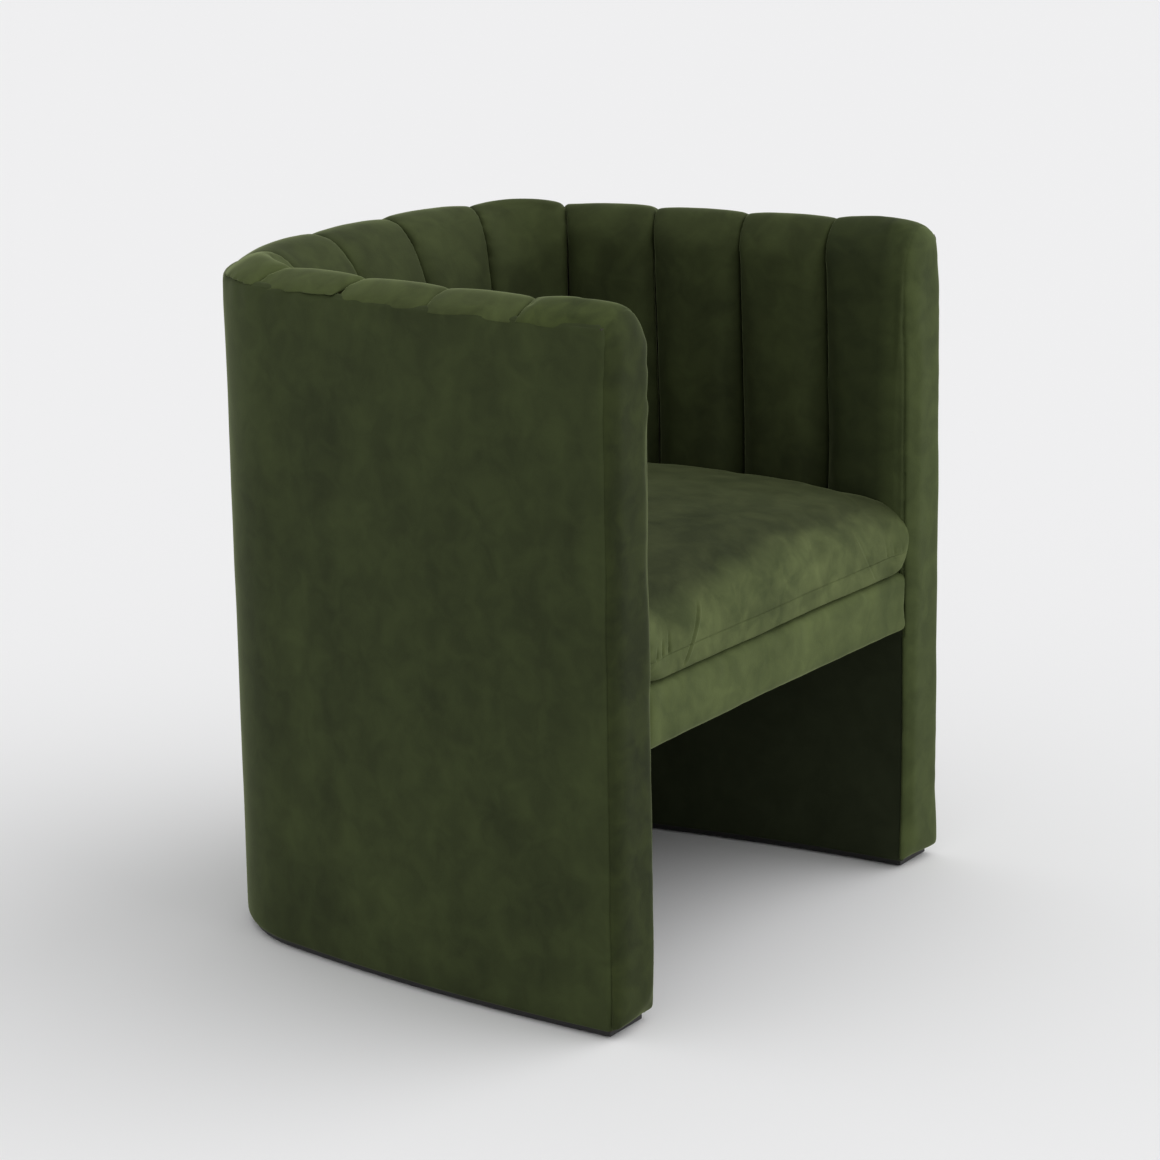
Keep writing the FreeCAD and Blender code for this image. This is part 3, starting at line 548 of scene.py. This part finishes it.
def dip_beside(piece, directions):
    """A dip in a pad's inner face along its flat sides, which ends where the pad rolls over."""
    sides = [flat_side(piece, direction) for direction in directions]
    seam, across = sides[0]
    depths = [wall_place(vertex.co)[1] for vertex in piece.data.vertices
              if vertex.co.z < VALLEY_TOP[0] and abs((seam - vertex.co).dot(across)) < SEAM_BAND]
    back, face = min(depths), max(depths)

    def dip(place, normal):
        out, depth = wall_place(place)
        inner = eased(depth, back, back + VALLEY_RISE * (face - back))
        inner *= 1 - eased(place.z, *VALLEY_TOP)
        low = 1 - eased(place.z, *LEAN_HEIGHTS)
        reach = VALLEY_REACH * (1 + VALLEY_WIDENS * low)
        near = sum(math.exp(-((spot - place).dot(side) / reach) ** 2) for spot, side in sides)
        return out * (VALLEY_DEPTH + VALLEY_DEEPENS * low) * inner * near

    return dip


def lean_back(place, normal):
    """The padding of the back gets thicker towards the seat, so that its face leans."""
    out = wall_normal(place)
    inner = eased(-normal.dot(out), *LEAN_INWARD)
    low = 1 - eased(place.z, *LEAN_HEIGHTS)
    return Vector((0, -BACK_LEAN, 0)) * max(out.y, 0.0) * inner * low


# The rims are painted paler, a painted highlight where the light from above falls on the roll: a good
# deal paler on the arm at -X and round its rear corner. On the back and the arm at +X the painted
# highlight comes in more gradually, so that their inner faces are painted darker down towards
# the seat.
CHANNEL_PILE = ("#262b16", "#3d4526", 0.45)
MIDDLE_CHANNELS = range(2, 13)
FIRST_SHARP_RIM_HIGHLIGHT = 9
PAD_WIDEN = 0.0022

sharp_rim_highlight_velvet = velvet("cotton_velvet_channels_sharp_highlight", *CHANNEL_PILE)
paint_light_and_shade(sharp_rim_highlight_velvet, "Z", start=0.662, end=0.679, tone=1.85, ragged_by=0.003)
gradual_rim_highlight_velvet = velvet("cotton_velvet_channels_gradual_highlight", *CHANNEL_PILE)
paint_light_and_shade(gradual_rim_highlight_velvet, "Z", start=0.610, end=0.700, tone=1.35, ragged_by=0.020)

for number in MIDDLE_CHANNELS:
    name = "channel_%02d" % number
    pad = copied_skin([name], name + "_pad", PAD_VOXEL, PAD_SHRINK)
    low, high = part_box(name)
    out = wall_normal((low + high) / 2)
    along = Vector((-out.y, out.x, 0))
    shift(pad, lambda place, normal: along * (PAD_WIDEN * normal.dot(along)))
    shift(pad, rim_bulge)
    shift(pad, dip_beside(pad, (along, -along)))
    shift(pad, lean_back)
    inflate(pad, lambda place, normal: pad_cap(normal.dot(along)))
    finish_soft(pad, smoothing=1)
    soften(pad, depth=0.0006, wave=0.07, seed=float(number))
    dress(pad, sharp_rim_highlight_velvet if number >= FIRST_SHARP_RIM_HIGHLIGHT else gradual_rim_highlight_velvet, "velvet", name)


# Arm fronts
# The first and last channels run on into narrow padded facings that close the fronts of the arms
# from the rim to the floor. Each facing is blind sewn to the outer panel and to the inside.

ARM_VOXEL = 0.0045

# The remesh and the smoothing draw the facing in. It is spread again from its middle to its inner
# and outer edges, from a little behind the wall's front, and its own front comes forward.
FACING_MIDDLE = 0.289
FACING_HALF = 0.0315
FACING_IN = 0.0080
FACING_OUT = 0.0025
SPREAD_BACK = WALL_FRONT + 0.012
SPREAD_FADE = 0.014
FACING_BACK = WALL_FRONT - 0.0003
FACING_FORWARD = 0.0025
FORWARD_FADE = 0.005

# The corner where the facing meets the rolled rim is smoothed more the higher it is, and filled a
# little where that smoothing starts.
CORNER_SMOOTHINGS = ((0.605, 3), (0.635, 4), (0.660, 6))
CORNER_BACK = WALL_FRONT + 0.045
CORNER_FOOT = 0.602
CORNER_FILL = 0.0018
CORNER_SPAN = 0.035

# The blind seam on the facing's inner side is a groove above the seat, shallower near the rim. The
# gap is its half width, and the distance between the rings of edges that it is pressed in on.
FACING_SEAM = WALL_FRONT - 0.0020
FACING_CAP = 0.0026
SEAM_GAP = 0.0014
GROOVE_FACING = 0.2
GROOVE_DEPTH = 0.0024
GROOVE_RISES = 0.0016
GROOVE_FOOT = 0.26
GROOVE_HEIGHTS = (0.59, 0.645)


def spread_facing(place, normal):
    """Fills the facing out to its edges and brings its front forward."""
    beside = eased(SPREAD_BACK - place.y, 0.0, SPREAD_FADE)
    ahead = eased(FACING_BACK - place.y, 0.0, FORWARD_FADE)
    from_middle = (abs(place.x) - FACING_MIDDLE) / FACING_HALF
    fill = CORNER_FILL * math.exp(-((place.z - CORNER_FOOT) / CORNER_SPAN) ** 2)
    spread = FACING_OUT if from_middle > 0 else FACING_IN + fill
    across = math.copysign(1.0, place.x) * spread * from_middle * beside
    return Vector((across, -FACING_FORWARD * ahead, 0))


def arm_cap(place, normal):
    """The facing's own cap, and behind its seam the channel's."""
    return FACING_CAP if place.y < FACING_SEAM else pad_cap(normal.y)


def facing_seam(place, normal):
    """Depth of the blind seam's groove on the inner side and the rim, and none on the outer side."""
    inward = -math.copysign(1.0, place.x) * normal.x
    if place.z < GROOVE_FOOT or max(inward, normal.z) < GROOVE_FACING:
        return 0.0
    depth = GROOVE_DEPTH - GROOVE_RISES * eased(place.z, *GROOVE_HEIGHTS)
    return depth * math.exp(-((place.y - FACING_SEAM) / SEAM_GAP) ** 2)


def score(piece, middle, direction):
    """Adds three rings of edges across the skin, so that a narrow seam can be pressed in there."""
    select_only(piece)
    bpy.ops.object.mode_set(mode="EDIT")
    for offset in (-SEAM_GAP, 0.0, SEAM_GAP):
        bpy.ops.mesh.select_all(action="SELECT")
        bpy.ops.mesh.bisect(plane_co=direction * (middle + offset), plane_no=direction)
    bpy.ops.object.mode_set(mode="OBJECT")


# Each arm's channel, its dark and pale pile, its tones with their starts and ends behind the facing's
# seam, its rim's tone and its seed. The pile and the tones are painted light and shade. At +X the
# facing is painted lit, paler than its channel, with a sharp edge at the seam; the channel's inner
# face is painted darker as shade, save for a painted highlight on its rolled edge just behind the
# seam. At
# -X the facing is painted darker than its channel, as shade, with a soft edge. The rim's tone is a
# painted highlight.
ARMS = {
    "right": ("channel_01", "#333b20", "#4b5530",
              ((-0.001, 0.001, 0.85), (0.013, 0.030, 0.58)), 1.25, 21.0),
    "left": ("channel_13", "#1b200f", "#373f1f",
             ((-0.005, 0.004, 1.35),), 1.60, 20.0),
}
for side, (channel, dark, pale, light_and_shade_tones, rim_highlight_tone, seed) in ARMS.items():
    facing = "front_facing_" + side
    arm = copied_skin([channel, facing], "arm_front_" + side, ARM_VOXEL, 0.0)
    shift(arm, spread_facing)
    for corner_foot, repeats in CORNER_SMOOTHINGS:
        bpy.ops.object.mode_set(mode="EDIT")
        bpy.ops.mesh.select_all(action="DESELECT")
        bpy.ops.object.mode_set(mode="OBJECT")
        for vertex in arm.data.vertices:
            vertex.select = vertex.co.z > corner_foot and vertex.co.y < CORNER_BACK
        bpy.ops.object.mode_set(mode="EDIT")
        bpy.ops.mesh.vertices_smooth(factor=0.5, repeat=repeats)
        bpy.ops.object.mode_set(mode="OBJECT")
    shift(arm, rim_bulge)
    shift(arm, dip_beside(arm, (Vector((0, 1, 0)),)))
    inflate(arm, arm_cap)
    finish_soft(arm, smoothing=1)
    score(arm, FACING_SEAM, Vector((0, 1, 0)))
    press(arm, facing_seam)
    soften(arm, depth=0.0007, wave=0.07, seed=seed)
    arm_velvet = velvet("cotton_velvet_arm_lit_and_shaded_" + side, dark, pale, marks_share=0.5)
    for start, end, tone in light_and_shade_tones:
        paint_light_and_shade(arm_velvet, "Y", FACING_SEAM + start, FACING_SEAM + end, tone, ragged_by=0.0)
    paint_light_and_shade(arm_velvet, "Z", start=0.664, end=0.682, tone=rim_highlight_tone, ragged_by=0.003)
    dress(arm, arm_velvet, "velvet", channel, facing)


# Rail cover
# A padded wrap of velvet over the front seat rail, with its ends folded in against the arms.

# The remesh draws the wrap's ends in, so the last tenth of each half is stretched out again to the
# arms. The front swells the most.
RAIL_VOXEL = 0.0045
RAIL_STRAIGHT = 0.9
RAIL_END = 0.1
RAIL_STRETCH = 0.006
RAIL_CAP = 0.0008
RAIL_FRONT_CAP = 0.0026

# The wrinkles are on faces that look forward. They grow over 30 mm above this height, and are 22 mm
# wide and 50 mm high.
WRINKLE_FACING = -0.2
WRINKLE_FOOT = 0.30
WRINKLE_GROWTH = 0.03
WRINKLE_DEPTH = 0.0026
WRINKLE_WIDTH = 0.022
WRINKLE_HEIGHT = 0.05
WRINKLE_SEED = 4.0


def rail_cap(place, normal):
    """How far a point of the rail may move."""
    return RAIL_CAP + RAIL_FRONT_CAP * max(-normal.y, 0.0)


def rail_wrinkle(place, normal):
    """Short dents along the top edge, where the wrap is pulled over the rail."""
    height = (place.z - WRINKLE_FOOT) / WRINKLE_GROWTH
    if height < 0 or normal.y > WRINKLE_FACING:
        return 0.0
    spot = Vector((place.x / WRINKLE_WIDTH, WRINKLE_SEED, place.z / WRINKLE_HEIGHT))
    return WRINKLE_DEPTH * min(height, 1.0) * max(noise.noise(spot), 0.0)


rail = copied_skin(["rail_cover"], "rail_cover_pad", RAIL_VOXEL, 0.0)
rail_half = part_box("rail_cover")[1].x
for vertex in rail.data.vertices:
    past = max(abs(vertex.co.x) / rail_half - RAIL_STRAIGHT, 0.0) / RAIL_END
    vertex.co.x += math.copysign(RAIL_STRETCH, vertex.co.x) * past
inflate(rail, rail_cap)
finish_soft(rail, smoothing=1)
press(rail, rail_wrinkle)
soften(rail, depth=0.0008, wave=0.06, seed=5.0)
# The rail's velvet is a paler copy of the cloth: painted light on its front, which faces the lamp.
rail_velvet = velvet("cotton_velvet_rail_painted_light", "#3b4426", "#5b653c", marks_share=0.4)
dress(rail, rail_velvet, "velvet", "rail_cover")


# Seat cushion
# A foam core wrapped in wadding, fixed between the arms. Its velvet cover is one panel over the top
# and nose, sewn to a low boxing strip, and pleated where it turns the front corners.

SEAT_VOXEL = 0.006

# The nose's ends bulge past the arm fronts round its middle height. They are widened and brought
# forward over these distances from the middle of the seat and behind the seat's front.
NOSE_WIDEN = 0.022
NOSE_FORWARD = 0.014
NOSE_HEIGHT = 0.369
NOSE_ROLL = 0.050
NOSE_CORNER = (0.19, 0.25)
NOSE_END = (0.21, 0.262)
NOSE_FRONT = (0.225, 0.275)

# The core holds the sides. The wadding lets the top swell, and the front a little more.
SEAT_CAP = 0.0015
SEAT_TOP_CAP = 0.003
SEAT_FRONT_CAP = 0.002
SEAT_FRONT = (0.2, 0.26)

# The boxing seam is an edge ring that is drawn in, less at the corners.
BOXING_SEAM = 0.3527
BOXING_DEPTH = 0.0013
BOXING_EASES = 0.6
ON_THE_SEAM = 0.0002

# Each pleat's distance from the middle, its length above the boxing seam and its depth. All lean a
# little and start over 2 mm. The corner at +X is pulled flatter.
PLEATS = ((0.245, 0.014, 0.0035), (0.2314, 0.018, 0.0050), (0.218, 0.024, 0.0050))
PLEAT_WIDTH = 0.0018
PLEAT_LEAN = 0.15
PLEAT_START = 0.002
FLAT_CORNER = 0.25

# One long fold beside the pleats is a groove with a ridge along it. It runs down and outwards in a
# curve, and fades in at its top and out at its length.
FOLD_TOP = 0.386
FOLD_REACH = 0.157
FOLD_SLOPE = 0.42
FOLD_CURVE = 4.6
FOLD_WIDTH = 0.002
FOLD_LENGTH = 0.055
FOLD_FADE_IN = (-0.008, 0.006)
FOLD_FADE_OUT = 0.010
FOLD_GROOVE = 0.0016
FOLD_RIDGE = 0.0009
FOLD_APART = 0.9

# Both are on faces that look forward, and need a finer mesh at the front corners: past this distance
# from the middle, ahead of this line and between these heights.
FRONT_FACING = -0.1
FINE_PAST = 0.145
FINE_AHEAD = -0.24
FINE_HEIGHTS = (0.335, 0.398)


def fill_nose(place, normal):
    """Fills out the nose's ends."""
    corner = eased(abs(place.x), *NOSE_CORNER)
    end = eased(abs(place.x), *NOSE_END)
    roll = max(1 - ((place.z - NOSE_HEIGHT) / NOSE_ROLL) ** 2, 0.0) * eased(-place.y, *NOSE_FRONT)
    return Vector((math.copysign(NOSE_WIDEN, place.x) * corner, -NOSE_FORWARD * end, 0)) * roll


def cushion_cap(place, normal):
    """How far a point of the cushion may move."""
    front = eased(-place.y, *SEAT_FRONT)
    return SEAT_CAP + (SEAT_TOP_CAP + SEAT_FRONT_CAP * front) * max(normal.z, -normal.y, 0.0)


def short_pleats(place):
    """Depth of the short folds that rise from the boxing seam at a front corner."""
    above = place.z - BOXING_SEAM
    depth = 0.0
    for spot, length, most in PLEATS:
        if 0 < above < length:
            off = (abs(place.x) - spot + PLEAT_LEAN * above) / PLEAT_WIDTH
            start = min(above / PLEAT_START, 1.0)
            depth += most * (1 - above / length) * start * math.exp(-off * off)
    return depth


def long_fold(place):
    """Depth of the long fold, which is negative on its ridge."""
    below = FOLD_TOP - place.z
    off = abs(place.x) - FOLD_REACH - FOLD_SLOPE * below - FOLD_CURVE * below * below
    off /= FOLD_WIDTH
    fade = eased(below, *FOLD_FADE_IN) * eased(FOLD_LENGTH - below, 0.0, FOLD_FADE_OUT)
    groove = FOLD_GROOVE * math.exp(-(off - FOLD_APART) ** 2)
    return fade * (groove - FOLD_RIDGE * math.exp(-(off + FOLD_APART) ** 2))


def gathers(place, normal):
    """Depth of the pleats and the long fold on the cushion's front."""
    if normal.y > FRONT_FACING:
        return 0.0
    share = 1.0 if place.x < 0 else FLAT_CORNER
    return share * (short_pleats(place) + long_fold(place))


def boxing_dip(place, normal):
    """Depth of the boxing seam on the cushion's front."""
    if abs(place.z - BOXING_SEAM) > ON_THE_SEAM or normal.y > FRONT_FACING:
        return 0.0
    return BOXING_DEPTH * (1 - BOXING_EASES * eased(abs(place.x), *NOSE_CORNER))


cushion = copied_skin(["seat_cushion"], "seat_cushion_pad", SEAT_VOXEL, 0.0)
shift(cushion, fill_nose)
inflate(cushion, cushion_cap)
finish_soft(cushion, smoothing=1)
bpy.ops.object.mode_set(mode="EDIT")
bpy.ops.mesh.select_all(action="DESELECT")
bpy.ops.mesh.select_mode(type="FACE")
bpy.ops.object.mode_set(mode="OBJECT")
low, high = FINE_HEIGHTS
for face in cushion.data.polygons:
    spot = face.center
    face.select = abs(spot.x) > FINE_PAST and spot.y < FINE_AHEAD and low < spot.z < high
bpy.ops.object.mode_set(mode="EDIT")
bpy.ops.mesh.subdivide(number_cuts=2, smoothness=0.0)
bpy.ops.mesh.select_mode(type="VERT")
bpy.ops.object.mode_set(mode="OBJECT")
press(cushion, gathers)
soften(cushion, depth=0.0012, wave=0.10, seed=6.0)
score(cushion, BOXING_SEAM, Vector((0, 0, 1)))
press(cushion, boxing_dip)

# The seat's velvet is a paler copy of the cloth: a painted highlight on the nose, which faces the
# lamp.
# The top behind the nose is painted darker as shade, with a ragged edge to the paler part.
seat_velvet = velvet("cotton_velvet_seat_painted_light_and_shade", "#3a4325", "#626b42", marks_share=0.5)
paint_light_and_shade(seat_velvet, "Y", start=-0.280, end=-0.255, tone=0.42, ragged_by=0.014)
dress(cushion, seat_velvet, "velvet", "seat_cushion")


# Studio
# A pale seamless paper floor, one very broad soft lamp from the front at +X and an even pale
# surround.

SURROUND_LEVEL = 0.74
LAMP_LEVEL = 1.35
LAMP_SPREAD = math.radians(75)
LAMP_FROM = Vector((0.55, -0.85, 0.75))

bpy.ops.object.select_all(action="DESELECT")
bpy.ops.mesh.primitive_plane_add(size=60.0)
floor = bpy.context.object
floor.name = "studio_floor"
paper, tree, shader = new_material("matte_backdrop_paper")
shader.inputs["Base Color"].default_value = linear("#f0f0f1")
shader.inputs["Roughness"].default_value = 0.9
shader.inputs["Specular IOR Level"].default_value = 0.1
floor.data.materials.append(paper)

world = bpy.data.worlds.new("pale_surround")
bpy.context.scene.world = world
world.use_nodes = True
background = world.node_tree.nodes["Background"]
background.inputs["Color"].default_value = (1.0, 1.0, 1.0, 1.0)
background.inputs["Strength"].default_value = SURROUND_LEVEL

lamp_data = bpy.data.lights.new("soft_key", "SUN")
lamp_data.energy = LAMP_LEVEL
lamp_data.angle = LAMP_SPREAD
lamp = bpy.data.objects.new("soft_key", lamp_data)
bpy.context.collection.objects.link(lamp)
lamp.matrix_world = LAMP_FROM.to_track_quat("Z", "Y").to_matrix().to_4x4()


# Camera
# The photograph's own viewpoint, solved from the chair's corners and seams. It looks past the arm at
# -X from a little above the rim, with a long lens and a slight roll.

CAMERA_PLACE = Vector((-2.9212, -1.9488, 1.2218))
CAMERA_AIM = Vector((0.81152, 0.53143, -0.24294))
CAMERA_ROLL = math.radians(-0.9)
CAMERA_LENS = 108.53
CAMERA_SENSOR = 36.0

camera_data = bpy.data.cameras.new("studio_camera")
camera_data.lens = CAMERA_LENS
camera_data.sensor_width = CAMERA_SENSOR
camera = bpy.data.objects.new("studio_camera", camera_data)
bpy.context.collection.objects.link(camera)
aim = CAMERA_AIM.to_track_quat("-Z", "Y").to_matrix().to_4x4()
roll = Matrix.Rotation(CAMERA_ROLL, 4, "Z")
camera.matrix_world = Matrix.Translation(CAMERA_PLACE) @ aim @ roll
bpy.context.scene.camera = camera
bpy.context.scene.view_settings.view_transform = "Standard"
